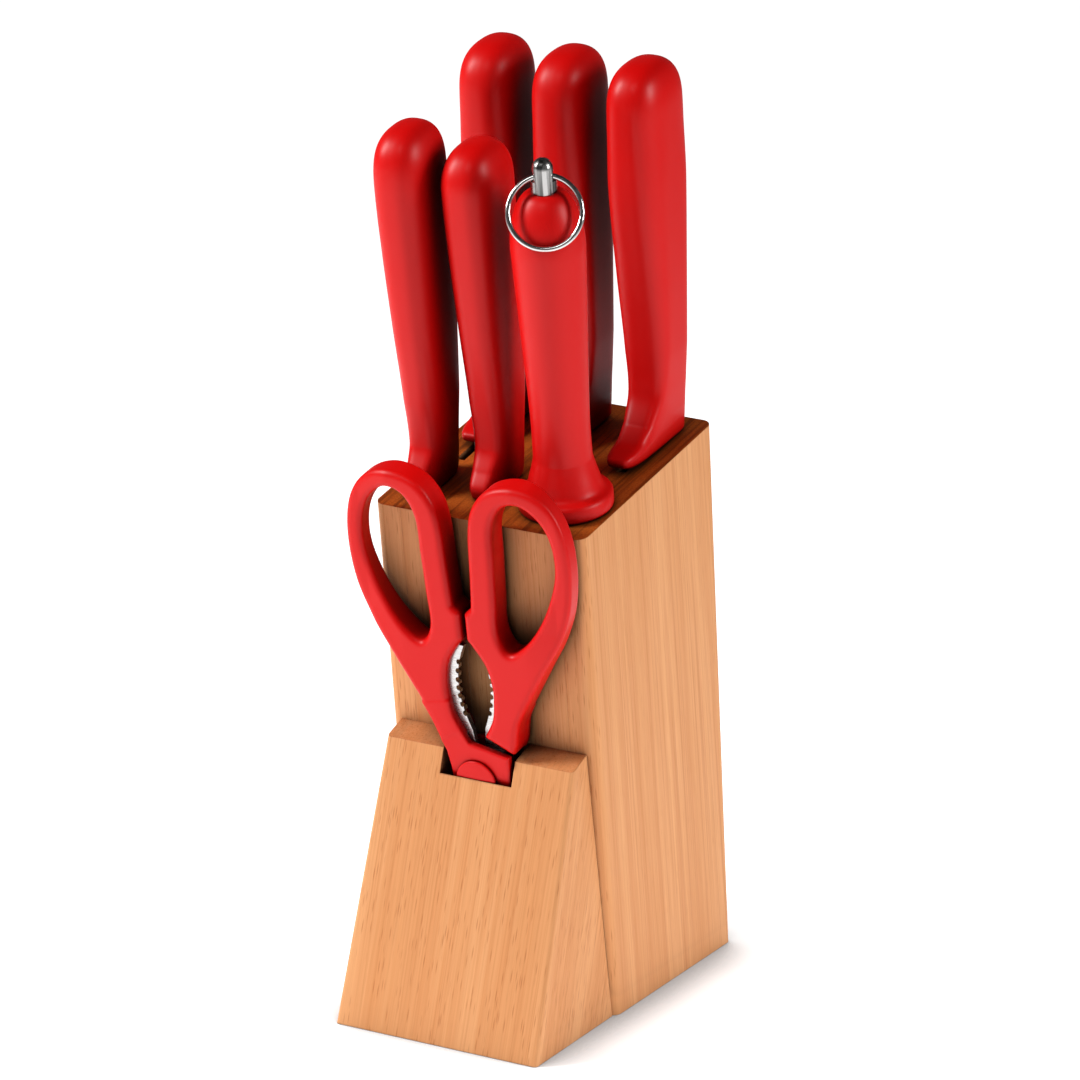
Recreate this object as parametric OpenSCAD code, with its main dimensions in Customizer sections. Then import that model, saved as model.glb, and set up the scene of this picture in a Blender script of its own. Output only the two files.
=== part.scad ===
// Knife block with five knives, a sharpening steel and kitchen scissors.
// X runs to the right, Y away from the front, Z up; the origin is the middle of the standing face.
// Inside the block, depth is counted from its leaning front face and height along that face.

/* [Main block] */
// Width across the boards
block_w = 80; // [78:0.5:84]
// Length of the leaning front face
face_len = 184; // [180:1:190]
// Forward lean of the front face and of every slot, in degrees
lean = 10.9; // [9:0.1:12]
// Forward lean of the back face, in degrees
back_lean = 8.4; // [7:0.1:9]
// Depth of the top face, square to the front face
top_depth = 96; // [95:0.5:104]
// Radius of the rounded upright edges
edge_r = 4; // [2:0.5:6]
// Outer faces of the two middle glue joints, left of centre
glue_left = -7.8; // [-8.2:0.1:-7.5]
// Glue joint right of centre
glue_right = 1.4; // [1:0.1:2]
// Distance of the two outer glue joints from the centre
glue_outer = 29.6; // [29:0.1:30]

/* [Scissors block] */
// Width at the foot
front_w = 78; // [75:0.5:80]
// Width at the top edge
front_top_w = 72; // [70:0.5:74]
// How far the foot stands in front of the main block
front_foot = 56; // [52:0.5:60]
// Height of the top where it meets the main block, along the leaning face
front_top = 102.2; // [100:0.1:104]
// Height of the top at its front edge, along the leaning face
front_lip = 100.5; // [99:0.1:101]
// Depth of the top, square to the leaning face
front_lip_depth = 10.5; // [10:0.1:11]
// Radius of its upright front edges
front_edge_r = 1.5; // [1:0.5:3]
// Width of the scissors channel
channel_w = 27.6; // [27.4:0.1:28]
// Depth of the scissors channel
channel_d = 14.4; // [14.4:0.1:15]
// Height of the channel floor, along the leaning face
channel_floor = 8; // [6:0.5:10]

/* [Dowels] */
// Dowel radius
dowel_r = 4; // [3:0.5:4]
// Dowel length
dowel_len = 26; // [22:1:28]
// Dowel distance left and right of the centre
dowel_x = 24; // [22:0.5:24]

// Heights of the two dowel rows, along the leaning face
dowel_low = 30; // [26:1:34]
dowel_high = 75; // [70:1:80]

/* [Knives] */
// Gap under every handle when the knife is home
seat_gap = 0.3; // [0.3:0.05:0.6]
// Length of a large handle
large_len = 137.4; // [135:0.2:140]
// Length of the utility knife's handle
utility_len = 126.2; // [124:0.2:130]
// Length of the paring knife's handle
paring_len = 132; // [130:0.2:136]
// Depth of the back row's spines in the block
back_spine = 89.4; // [89:0.1:92.4]
// Thickness of a large blade at the spine
large_t = 2.4; // [2:0.1:2.6]
// Thickness of a small blade at the spine
small_t = 1.8; // [1.5:0.1:2]
// Width of a large slot
large_slot = 3.2; // [3.2:0.1:3.4]
// Width of a small slot
small_slot = 2.6; // [2.6:0.1:2.8]

/* [Sharpening steel] */
// Place of the steel, right of centre
steel_x = 22.4; // [22:0.1:22.6]
// Depth of the steel's axis in the block
steel_d = 21.5; // [21:0.1:23]
// Radius of the rod
rod_r = 5; // [4.6:0.1:5.2]
// Length of the rod below the handle
rod_len = 172; // [160:1:174]
// Radius of the bore in the block
rod_bore_r = 5.8; // [5.6:0.1:5.9]
// Length of the handle
steel_handle_len = 115.7; // [114:0.1:117]
// Radius of the guard's rim
guard_r = 16.2; // [15.6:0.1:16.6]
// Radius of the stud's post
stud_r = 3.5; // [3.4:0.1:3.8]
// Radius of the stud's collar
collar_r = 4.4; // [4.2:0.1:5]
// Height of the stud
stud_len = 12.3; // [12:0.1:13]
// Radius of the ring's wire
wire_r = 0.95; // [0.8:0.05:1]
// Radius of the ring to the middle of its wire
ring_r = 12.2; // [12:0.1:13]
// Radius of the cross hole in the stud
ring_hole_r = 1.65; // [1.6:0.05:1.7]
// Angle at which the ring rests on the handle, in degrees
ring_tilt = 30.5; // [30.5:0.5:34]
// Direction in which the ring hangs, right of the front, in degrees
ring_turn = 27.8; // [20:0.2:34]

/* [Scissors] */
// Place of the pivot, right of centre
pivot_x = -0.2; // [-0.4:0.1:0]
// How far the scissors lean to the left in their channel, in degrees
shear_lean = 1.6; // [1:0.1:1.8]
// Height of the pivot along the leaning face
pivot_s = 91.6; // [91:0.1:92]
// Thickness of each scissors blade
shear_t = 2.2; // [2:0.1:2.3]
// Gap between the two blades
shear_gap = 0.3; // [0.3:0.05:0.4]
// Depth of the gap's middle in front of the main block
shear_mid = 7.15; // [7:0.05:7.3]
// Thickness of the handle loops
loop_t = 11; // [10:0.5:11]
// Radius of the pivot screw
screw_r = 2.5; // [2:0.1:3]
// Radius of the round front cap
cap_r = 7.6; // [7:0.1:8]

/* [Hidden] */

$fn = 64;
cut = 1;
beech = "burlywood";
red = "firebrick";
bright = "silver";

// Turns depth and height along the leaning face into [y, z] from the foot of that face
function flat(depth, height) =
    [depth * cos(lean) - height * sin(lean), depth * sin(lean) + height * cos(lean)];

// Foot of the back face, below the back of the top
back_top = flat(top_depth, face_len);
back_foot = [back_top[0] + back_top[1] * tan(back_lean), 0];

// Corners of the scissors block's side view
lip = flat(-front_lip_depth, front_lip);
front_slope = atan2(lip[0] + front_foot, lip[1]);
front_view = [[0, 0], flat(0, front_top), lip, [-front_foot, 0]];
edge_room = 20;
front_taper = atan2((front_w - front_top_w) / 2, norm(lip + [front_foot, 0]));

// The standing face runs from the front foot to the back foot
mid_y = (back_foot[0] - front_foot) / 2;

// Slots, counted from the spine's line at the top face
chef_reach = 50;
large_reach = 39;
small_reach = 26;
slot_back = 1.4;
large_depth = 186;
utility_depth = 129;
paring_depth = 96;
chef_x = -glue_outer + large_slot / 2;
bread_x = glue_right - large_slot / 2;
carving_x = glue_outer - large_slot / 2;
paring_x = -glue_outer + small_slot / 2;
utility_x = glue_left + small_slot / 2;
paring_spine = 32;
utility_spine = 38.3;

// Blades: length below the handle and height at the heel
chef_cut = [178, 38.5];
bread_cut = [178, 31];
carving_cut = [176, 27];
utility_cut = [118, 23];
paring_cut = [88, 20];
spine_inset = 1;
edge_t = 0.4;
scallop_pitch = 6;
scallop_r = 2.2;
scallop_out = 0.6;
scallop_span = 0.86;

// Handle stations: [height, front, back, width, nose, squareness], front and back from the spine's line
large_rows = [[0, -42, -1, 11.6, 0.36, 0.28], [3.6, -41.8, -1, 12, 0.36, 0.28],
              [5.8, -33.5, -1, 12.6, 0.3, 0.32], [10, -27.2, -1, 13.4, 0.2, 0.38],
              [19, -21.2, -0.5, 14.8, 0.08, 0.5], [33, -20.8, 0.6, 17, 0, 0.64],
              [60, -23.6, 1.6, 19.3, 0, 0.72], [90, -26.8, 3.5, 20.4, 0, 0.74],
              [116, -27.8, 4.8, 20.8, 0, 0.78], [128, -27.6, 4.8, 20.8, 0, 0.82]];
small_rows = [[0, -25.3, 0, 9.5, 0.3, 0.34], [4.5, -25.4, 0.1, 11, 0.3, 0.34],
              [9, -21.8, 0.3, 12, 0.24, 0.4], [16, -17.6, 0.8, 13.4, 0.08, 0.56],
              [32, -18.8, 3.4, 15.2, 0, 0.7], [60, -21.8, 5.1, 17, 0, 0.74],
              [90, -24, 4.9, 18.6, 0, 0.74], [112, -25, 4.8, 19.6, 0, 0.76],
              [122, -24.8, 4.8, 19.6, 0, 0.8]];
butt_len = 15.5;
foot_round = 1.2;
handle_sides = 24;
handle_rings = 34;
foot_h = 20;
foot_rings = 0.26;
dome_rings = 0.75;
dome_from = 0.85;
foot_shrink = 0.07;
dome_power = 2.5;
tang_len = 92;
tang_w = 13;
small_tang_w = 10;

// Steel handle: [height, radius] from the underside of the guard
guard_round = 1.2;
rim_h = 6;
neck_r = 10;
neck_h = 21;
butt_r = 12.6;
butt_h = 101.6;
rod_tang_r = 4;
rod_tang_len = 70;
stem_r = 2.5;
stem_len = 14;
post_forward = 1.3;
collar_h = 4.2;
ring_h = 6.1;

// Scissors: each half is drawn with its own side positive, heights from the pivot
front_blade_d = -shear_mid - shear_gap / 2 - shear_t;
rear_blade_d = -shear_mid + shear_gap / 2;
loop_front = -shear_mid - loop_t / 2;
loop_back = -shear_mid + loop_t / 2;
stop_gap = 0.8;
cap_t = 1.1;
cap_gap = 0.3;
nut_r = 4.5;
nut_t = 1.6;
screw_fit = 0.05;
hub_r = 7.6;
tooth_r = 1;

function spow(v, p) = sign(v) * pow(abs(v), p);
function spline_at(a, b, c, d, t) =
    0.5 * (2 * b + (c - a) * t + (2 * a - 5 * b + 4 * c - d) * t * t + (3 * b - a - 3 * c + d) * t * t * t);
// Smooth open curve through the given points
function spline(p, n) = let (last = len(p) - 1)
    [for (i = [0 : last - 1], k = [0 : n - 1])
        spline_at(p[max(i - 1, 0)], p[i], p[i + 1], p[min(i + 2, last)], k / n), p[last]];
// Smooth closed curve through the given points
function loop_curve(p, n) = let (m = len(p))
    [for (i = [0 : m - 1], k = [0 : n - 1])
        spline_at(p[(i + m - 1) % m], p[i], p[(i + 1) % m], p[(i + 2) % m], k / n)];

// Places a shape given from the foot of the main block's front face
module placed() {
    translate([0, -mid_y, 0]) children();
}

// Turns depth and height into the block's leaning directions
module leaning() {
    placed() rotate([lean, 0, 0]) children();
}

// Side view drawn as [y, z], spread evenly over a width in X
module across(width) {
    rotate([90, 0, 90]) translate([0, 0, -width / 2]) linear_extrude(width) children();
}

// Material outside the rounding of one upright edge, with the body on the +X +Y side
module edge_cutter(r, length) {
    translate([0, 0, -length / 4]) linear_extrude(length * 1.5) difference() {
        translate([-cut, -cut]) square(r + cut);
        translate([r, r]) circle(r);
    }
}

// ---------- Wooden block ----------

// Plan with its two front corners rounded, front face on the X axis
module rounded_plan(width, r, reach) {
    translate([-width / 2, r]) square([width, reach - r]);
    translate([-width / 2 + r, 0]) square([width - 2 * r, r + cut]);
    for (side = [-1, 1]) translate([side * (width / 2 - r), r]) circle(r);
}

// Front and back faces lean by different angles; each brings its own rounded edges
module main_form() {
    far = 2 * top_depth;
    intersection() {
        rotate([lean, 0, 0]) translate([0, 0, -far]) linear_extrude(2 * far + face_len)
            rounded_plan(block_w, edge_r, far);
        translate([0, back_foot[0], 0]) rotate([back_lean, 0, 0]) translate([0, 0, -far])
            mirror([0, 1, 0]) linear_extrude(2 * far + face_len) rounded_plan(block_w, edge_r, far);
        across(block_w + 2 * cut)
            polygon([[-far, 0], flat(-far / 2, face_len), flat(far, face_len), [far, 0]]);
    }
}

// Frame of one knife: its origin lies on the spine's line at the block's top face
module knife_frame(x, spine, row_lean) {
    at = flat(spine, face_len);
    translate([x, at[0], at[1]]) rotate([row_lean, 0, 0]) children();
}

// Slot milled into one face of a board; open_side tells which, -1 left, 1 right
module slot(x, open_side, spine, row_lean, size) {
    knife_frame(x, spine, row_lean) translate([-size[0] / 2 - (open_side < 0 ? cut : 0), -size[1], -size[2]])
        cube([size[0] + cut, size[1] + slot_back, size[2] + cut]);
}

module large_slot_at(x, open_side, reach) {
    slot(x, open_side, back_spine, back_lean, [large_slot, reach, large_depth]);
}

module small_slot_at(x, spine, depth) {
    slot(x, -1, spine, lean, [small_slot, small_reach, depth]);
}

module rod_bore() {
    rotate([lean, 0, 0]) translate([steel_x, steel_d, face_len - rod_len - 6])
        cylinder(r = rod_bore_r, h = rod_len + 6 + cut);
}

module each_dowel() {
    for (side = [-1, 1], s = [dowel_low, dowel_high]) rotate([lean, 0, 0]) translate([side * dowel_x, 0, s])
        rotate([-90, 0, 0]) children();
}

module dowel_bores() {
    each_dowel() translate([0, 0, -dowel_len / 2]) cylinder(r = dowel_r, h = dowel_len);
}

module board(from, to) {
    room = face_len + top_depth;
    color(beech) placed() difference() {
        intersection() {
            main_form();
            translate([from, -room / 2, -cut]) cube([to - from, room, room]);
        }
        children();
    }
}

module left_board() {
    board(-block_w / 2 - cut, -glue_outer);
}

module left_inner_board() {
    board(-glue_outer, glue_left) {
        large_slot_at(chef_x, -1, chef_reach);
        small_slot_at(paring_x, paring_spine, paring_depth);
        dowel_bores();
    }
}

module centre_board() {
    board(glue_left, glue_right) {
        small_slot_at(utility_x, utility_spine, utility_depth);
        large_slot_at(bread_x, 1, large_reach);
    }
}

module right_inner_board() {
    board(glue_right, glue_outer) {
        large_slot_at(carving_x, 1, large_reach);
        rod_bore();
        dowel_bores();
    }
}

module right_board() {
    board(glue_outer, block_w / 2 + cut);
}

// Everything outside one tapered side of the scissors block, with its front edge rounded
module front_side_cutter() {
    translate([-front_w / 2, -front_foot, 0]) rotate([-front_slope, 0, 0]) rotate([0, front_taper, 0]) {
        translate([-edge_room, -edge_room, -face_len / 4]) cube([edge_room, face_len, 1.5 * face_len]);
        edge_cutter(front_edge_r, face_len / 2);
    }
}

module scissors_block() {
    color(beech) placed() difference() {
        across(front_w + cut) polygon(front_view);
        for (side = [0, 1]) mirror([side, 0, 0]) front_side_cutter();
        rotate([lean, 0, 0]) translate([-channel_w / 2, -channel_d, channel_floor])
            cube([channel_w, channel_d + cut, front_top]);
        dowel_bores();
    }
}

module dowels() {
    color("tan") placed() each_dowel() translate([0, 0, -dowel_len / 2])
        cylinder(r = dowel_r, h = dowel_len);
}

// ---------- Knives ----------

// Cutting edge from heel to tip: size is [length, height], belly says where it turns up
function edge_curve(size, belly) = [for (i = [0 : 14]) let (t = i / 14)
    [-size[1] * (1 - pow(t, belly)), -size[0] * t]];

// Row of scallops cut into a straight edge
module scallops(size) {
    for (i = [1 : floor(size[0] * scallop_span / scallop_pitch)])
        translate([-size[1] - scallop_out, -i * scallop_pitch]) circle(scallop_r);
}

// Blade and tang seen from the side, as [depth, height] from the spine's upper end
module blade_plate(size, belly, t, toothed) {
    intersection() {
        across(t) difference() {
            polygon(concat([[0, 0]], edge_curve(size, belly)));
            if (toothed) scallops(size);
        }
        translate([0, 0, -size[0] - cut]) linear_extrude(size[0] + cut)
            polygon([[-t / 2, 0], [t / 2, 0], [edge_t / 2, -size[1]], [-edge_t / 2, -size[1]]]);
    }
}

module tang(width, t) {
    translate([-t / 2, -width - 1.5, 0]) cube([t, width, tang_len]);
}

module at_seat(x, spine, row_lean) {
    placed() knife_frame(x, spine, row_lean) translate([0, -spine_inset, seat_gap]) children();
}

module large_blade(x, size, belly, toothed = false) {
    color(bright) at_seat(x, back_spine, back_lean) {
        blade_plate(size, belly, large_t, toothed);
        tang(tang_w, large_t);
    }
}

module small_blade(x, spine, size, belly) {
    color(bright) at_seat(x, spine, lean) {
        blade_plate(size, belly, small_t, false);
        tang(small_tang_w, small_t);
    }
}

// One station of a handle, worked out at a height by smooth steps between the rows
function row_index(rows, h) = len([for (r = rows) if (r[0] <= h) r]) - 1;
function row_at(rows, h) = let (last = len(rows) - 1, i = min(row_index(rows, h), last - 1),
    t = min((h - rows[i][0]) / (rows[i + 1][0] - rows[i][0]), 1))
    spline_at(rows[max(i - 1, 0)], rows[i], rows[i + 1], rows[min(i + 2, last)], t);
function cap_scale(h, length) = h < foot_round ? 1 - foot_shrink * (1 - sin(90 * h / foot_round))
    : h > length - butt_len ? pow(max(1 - pow((h - length + butt_len) / butt_len, dome_power), 0.0004),
        1 / dome_power) : 1;
// Rings stand close together at the foot and in the dome
function ring_height(i, length) = let (u = i / (handle_rings - 1))
    u < foot_rings ? foot_h * u / foot_rings
    : u < dome_rings ? foot_h + (dome_from * length - foot_h) * (u - foot_rings) / (dome_rings - foot_rings)
    : length * (dome_from + (1 - dome_from) * sin(90 * (u - dome_rings) / (1 - dome_rings)));
function handle_ring(rows, h, length) = let (r = row_at(rows, min(h, rows[len(rows) - 1][0])),
    k = cap_scale(h, length), mid = (r[1] + r[2]) / 2, half = (r[2] - r[1]) / 2)
    [for (j = [0 : handle_sides - 1]) let (a = 360 * j / handle_sides)
        [k * r[3] / 2 * spow(cos(a), r[5]) * (1 - r[4] * max(-sin(a), 0)),
         mid + k * half * spow(sin(a), r[5]), h]];

module handle_shape(rows, length) {
    points = [for (i = [0 : handle_rings - 1]) each handle_ring(rows, ring_height(i, length), length)];
    n = handle_sides;
    top = (handle_rings - 1) * n;
    sides = [for (i = [0 : handle_rings - 2], j = [0 : n - 1]) let (a = i * n + j, b = i * n + (j + 1) % n)
        each [[a, b + n, b], [a, a + n, b + n]]];
    polyhedron(concat(points), concat([[for (j = [0 : n - 1]) j]], sides,
        [[for (j = [n - 1 : -1 : 0]) top + j]]), convexity = 6);
}

module large_handle(x) {
    color(red) at_seat(x, back_spine, back_lean) difference() {
        translate([0, spine_inset, 0]) handle_shape(large_rows, large_len);
        tang(tang_w, large_t);
    }
}

module small_handle(x, spine, length) {
    color(red) at_seat(x, spine, lean) difference() {
        translate([0, spine_inset, 0]) handle_shape(small_rows, length);
        tang(small_tang_w, small_t);
    }
}

module chef_blade() {
    large_blade(chef_x, chef_cut, 2.6);
}

module chef_handle() {
    large_handle(chef_x);
}

module bread_blade() {
    large_blade(bread_x, bread_cut, 9, true);
}

module bread_handle() {
    large_handle(bread_x);
}

module carving_blade() {
    large_blade(carving_x, carving_cut, 3.6);
}

module carving_handle() {
    large_handle(carving_x);
}

module utility_blade() {
    small_blade(utility_x, utility_spine, utility_cut, 3);
}

module utility_handle() {
    small_handle(utility_x, utility_spine, utility_len);
}

module paring_blade() {
    small_blade(paring_x, paring_spine, paring_cut, 2.4);
}

module paring_handle() {
    small_handle(paring_x, paring_spine, paring_len);
}

// ---------- Sharpening steel ----------

module at_steel(h = 0) {
    leaning() translate([steel_x, steel_d, face_len + seat_gap + h]) children();
}

module steel_rod() {
    color(bright) at_steel() {
        translate([0, 0, -rod_len + 2]) cylinder(r = rod_r, h = rod_len - 2);
        translate([0, 0, -rod_len]) cylinder(r1 = rod_r - 2, r2 = rod_r, h = 2);
        cylinder(r = rod_tang_r, h = rod_tang_len);
    }
}

// Half outline of the handle, from the guard's underside to the butt
function steel_profile() = concat(
    [[0, 0], [guard_r - guard_round, 0]],
    [for (a = [-60 : 30 : 0])
        [guard_r - guard_round + guard_round * cos(a), guard_round + guard_round * sin(a)]],
    spline([[guard_r, rim_h - 1], [guard_r - 0.7, rim_h], [guard_r - 3, rim_h + 1.7],
            [neck_r + 1.9, rim_h + 5.5], [neck_r + 0.4, rim_h + 11], [neck_r, neck_h],
            [neck_r + 0.1, neck_h + 16],
            [(neck_r + butt_r) / 2 + 0.2, 70], [butt_r, butt_h - 6]], 5),
    [for (a = [10 : 10 : 80]) [collar_r + (butt_r - collar_r) * cos(a),
        butt_h - 6 + (steel_handle_len - butt_h + 6) * sin(a)]],
    [[collar_r, steel_handle_len], [0, steel_handle_len]]);

module steel_handle() {
    color(red) at_steel() difference() {
        rotate_extrude() polygon(steel_profile());
        translate([0, 0, -cut]) cylinder(r = rod_tang_r, h = rod_tang_len + cut);
        translate([0, 0, steel_handle_len - stem_len]) cylinder(r = stem_r, h = stem_len + cut);
    }
}

// Post with a domed end, standing a little in front of the collar's centre
module steel_stud() {
    color(bright) at_steel(steel_handle_len) rotate(ring_turn) difference() {
        union() {
            translate([0, 0, -stem_len]) cylinder(r = stem_r, h = stem_len);
            cylinder(r = collar_r, h = collar_h);
            translate([0, -post_forward, 0]) cylinder(r = stud_r, h = stud_len - stud_r);
            translate([0, -post_forward, stud_len - stud_r]) sphere(r = stud_r);
        }
        translate([-collar_r, -post_forward, ring_h]) rotate([0, 90, 0])
            cylinder(r = ring_hole_r, h = 2 * collar_r);
    }
}

module steel_ring() {
    color(bright) at_steel(steel_handle_len + ring_h) rotate(ring_turn) translate([0, -post_forward, 0])
        rotate([-ring_tilt, 0, 0]) translate([0, 0, -ring_r]) rotate([90, 0, 0])
            rotate_extrude() translate([ring_r, 0]) circle(wire_r, $fn = 32);
}

// ---------- Scissors ----------

// Handle edge beside the nutcracker, from the crossing up to the stop
jaw_curve = spline([[2, 13.5], [3.8, 16.5], [7.4, 23.5], [8.5, 30], [8.7, 36], [7, 44],
                    [stop_gap + 1, 52]], 4);
// Stop, inner arm, and the outside of the loop down to the block
arm_points = [[3.8, 70], [4.4, 80], [5.2, 94], [7.4, 103], [13, 110], [21.5, 113], [29.8, 111.8],
              [37, 106], [41.2, 97], [42.6, 84], [40.9, 69], [36.1, 56], [29, 43.8]];
front_arm_end = [[17.8, 24.4], [13.9, 16], [12.9, 13]];
rear_arm_end = [[18.8, 25.4], [17.2, 20], [16.7, 14.6], [15.4, 11.6]];
function arm_curve(end) = concat([[stop_gap, 53], [stop_gap, 63], [3.4, 65.5]],
    spline(concat(arm_points, end), 4));
hole_curve = [[16.8, 50.2], [23, 54], [29, 62], [33.7, 72], [36.6, 83], [36, 93.4], [32.4, 101.4],
              [25.6, 106.6], [18.6, 104.6], [14.6, 96.6], [14, 84], [13.4, 70], [13, 57]];
// Lower end of the full thickness, where the other half's plate passes beneath it
front_shoulder = [[12.5, 12.4], [4.2, 16.4]];
rear_shoulder = [[14.6, 11.4], [4.2, 16.4]];
// Edge of the plate around the pivot, from its own side round to the other
plate_edge = [[11.2, 9.6], [9.9, 3], [9.4, -3], [6, -8.5], [-6, -8.5]];
front_plate_reach = 12.8;
rear_plate_reach = 10.6;

module loop_outline(end, shoulder) {
    difference() {
        polygon(concat(arm_curve(end), shoulder, [for (p = jaw_curve) if (p[1] > 16.4) p]));
        polygon(loop_curve(hole_curve, 5));
    }
}

module plate_outline(reach, end) {
    polygon(concat([for (p = arm_curve(end)) if (p[1] < 30 && p[0] > 9) p], plate_edge,
        [[-reach, -5.5], [-reach, 10.3]], [for (p = jaw_curve) if (p[1] < 30) p]));
}

// Cutting blade below the pivot; it lies across from its own handle
blade_outline = [[1.4, -20], [-0.6, -76], [-2.2, -77], [-3.6, -71], [-7.6, -42], [-9.4, -18]];
// Toothed jaw, and the tang inside the handle behind it
teeth = spline([[1.8, 17.5], [3.9, 23.5], [5.2, 30], [5.4, 36], [4.4, 43], [2, 49.5]], 2);
tang_back = [[6, 50], [9, 48], [11.6, 42], [12.6, 30], [11, 16]];
function hub_arc(from, step, to) = [for (a = [from : step : to]) hub_r * [cos(a), sin(a)]];

module shear_outline() {
    difference() {
        polygon(concat(teeth, tang_back, hub_arc(35, -15, -70), blade_outline, hub_arc(195, -10, 85)));
        for (i = [2 : len(teeth) - 3]) translate(teeth[i]) circle(tooth_r, $fn = 24);
    }
}

// Stands an outline drawn as [side, height] in front of the main block, side -1 left, 1 right
module shear_plate(side, from, to) {
    leaning() translate([pivot_x, to, pivot_s]) rotate([90, 0, 0]) linear_extrude(to - from)
        rotate(shear_lean) scale([side, 1]) children();
}

module pivot_bore(r, from, to) {
    leaning() translate([pivot_x, from, pivot_s]) rotate([-90, 0, 0]) cylinder(r = r, h = to - from);
}

module scissors_blade(side, from) {
    color(bright) difference() {
        shear_plate(side, from, from + shear_t) shear_outline();
        pivot_bore(screw_r + screw_fit, from - cut, from + shear_t + cut);
    }
}

module scissors_front_blade() {
    scissors_blade(-1, front_blade_d);
}

module scissors_rear_blade() {
    scissors_blade(1, rear_blade_d);
}

module scissors_left_handle() {
    color(red) difference() {
        union() {
            shear_plate(-1, loop_front, loop_back) loop_outline(front_arm_end, front_shoulder);
            shear_plate(-1, loop_front, front_blade_d) plate_outline(front_plate_reach, front_arm_end);
        }
        shear_plate(-1, front_blade_d, front_blade_d + shear_t) shear_outline();
        pivot_bore(screw_r + screw_fit, loop_front - cut, front_blade_d + cut);
    }
}

module scissors_right_handle() {
    color(red) difference() {
        union() {
            shear_plate(1, loop_front, loop_back) loop_outline(rear_arm_end, rear_shoulder);
            shear_plate(1, rear_blade_d + shear_t, loop_back) plate_outline(rear_plate_reach, rear_arm_end);
        }
        shear_plate(1, rear_blade_d, rear_blade_d + shear_t) shear_outline();
        pivot_bore(screw_r + screw_fit, rear_blade_d, loop_back + cut);
        pivot_bore(nut_r + cap_gap, loop_back - nut_t - cap_gap, loop_back + cut);
    }
}

module pivot_screw() {
    color(bright) pivot_bore(screw_r, loop_front - cap_gap, loop_back);
}

module pivot_cap() {
    color(red) pivot_bore(cap_r, loop_front - cap_gap - cap_t, loop_front - cap_gap);
}

module pivot_nut() {
    color(bright) difference() {
        pivot_bore(nut_r, loop_back - nut_t, loop_back);
        pivot_bore(screw_r, loop_back - nut_t - cut, loop_back + cut);
    }
}

left_board();
left_inner_board();
centre_board();
right_inner_board();
right_board();
scissors_block();
dowels();
chef_blade();
chef_handle();
bread_blade();
bread_handle();
carving_blade();
carving_handle();
utility_blade();
utility_handle();
paring_blade();
paring_handle();
steel_rod();
steel_handle();
steel_stud();
steel_ring();
scissors_front_blade();
scissors_rear_blade();
scissors_left_handle();
scissors_right_handle();
pivot_screw();
pivot_cap();
pivot_nut();
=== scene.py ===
"""Looks of the knife block, its knives, sharpening steel and scissors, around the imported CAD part.

Sizes are in millimetres until a piece is placed. Inside the block, depth is counted from its leaning front
face and height along that face, as in the CAD source.
"""

import itertools
import math

import bmesh
import bpy
import numpy as np
from mathutils import Matrix, Vector


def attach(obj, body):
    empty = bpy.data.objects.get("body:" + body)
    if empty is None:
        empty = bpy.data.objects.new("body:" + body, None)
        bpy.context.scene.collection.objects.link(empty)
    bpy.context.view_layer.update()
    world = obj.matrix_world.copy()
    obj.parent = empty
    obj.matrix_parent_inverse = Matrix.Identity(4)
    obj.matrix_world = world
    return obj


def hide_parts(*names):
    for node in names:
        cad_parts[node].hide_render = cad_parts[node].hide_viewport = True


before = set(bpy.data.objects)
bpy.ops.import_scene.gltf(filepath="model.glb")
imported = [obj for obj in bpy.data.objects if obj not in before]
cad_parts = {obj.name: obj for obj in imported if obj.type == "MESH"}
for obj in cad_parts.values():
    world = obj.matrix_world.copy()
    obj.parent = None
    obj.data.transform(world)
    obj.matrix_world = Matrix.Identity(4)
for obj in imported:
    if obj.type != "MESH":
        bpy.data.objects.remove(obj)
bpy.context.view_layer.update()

# ---------- Sizes shared with the CAD source ----------

MM = 0.001
LEAN = math.radians(10.9)
BACK_LEAN = math.radians(8.4)
FACE_LEN = 184
TOP_DEPTH = 96
FRONT_FOOT = 56
FRONT_LIP, FRONT_LIP_DEPTH = 100.5, 10.5
SEAT_GAP = 0.3
GLUE_LEFT, GLUE_RIGHT, GLUE_OUTER = -7.8, 1.4, 29.6
LARGE_SLOT, SMALL_SLOT = 3.2, 2.6
BACK_SPINE, PARING_SPINE, UTILITY_SPINE = 89.4, 32, 38.3
LARGE_LEN, UTILITY_LEN, PARING_LEN = 137.4, 126.2, 132
BUTT_LEN, DOME_POWER, FOOT_ROUND, FOOT_SHRINK = 15.5, 2.5, 1.2, 0.07
# Handle stations: height, front, back, width, nose, squareness
LARGE_ROWS = (
    (0, -42, -1, 11.6, 0.36, 0.28),
    (3.6, -41.8, -1, 12, 0.36, 0.28),
    (5.8, -33.5, -1, 12.6, 0.3, 0.32),
    (10, -27.2, -1, 13.4, 0.2, 0.38),
    (19, -21.2, -0.5, 14.8, 0.08, 0.5),
    (33, -20.8, 0.6, 17, 0, 0.64),
    (60, -23.6, 1.6, 19.3, 0, 0.72),
    (90, -26.8, 3.5, 20.4, 0, 0.74),
    (116, -27.8, 4.8, 20.8, 0, 0.78),
    (128, -27.6, 4.8, 20.8, 0, 0.82),
)
SMALL_ROWS = (
    (0, -25.3, 0, 9.5, 0.3, 0.34),
    (4.5, -25.4, 0.1, 11, 0.3, 0.34),
    (9, -21.8, 0.3, 12, 0.24, 0.4),
    (16, -17.6, 0.8, 13.4, 0.08, 0.56),
    (32, -18.8, 3.4, 15.2, 0, 0.7),
    (60, -21.8, 5.1, 17, 0, 0.74),
    (90, -24, 4.9, 18.6, 0, 0.74),
    (112, -25, 4.8, 19.6, 0, 0.76),
    (122, -24.8, 4.8, 19.6, 0, 0.8),
)
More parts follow.
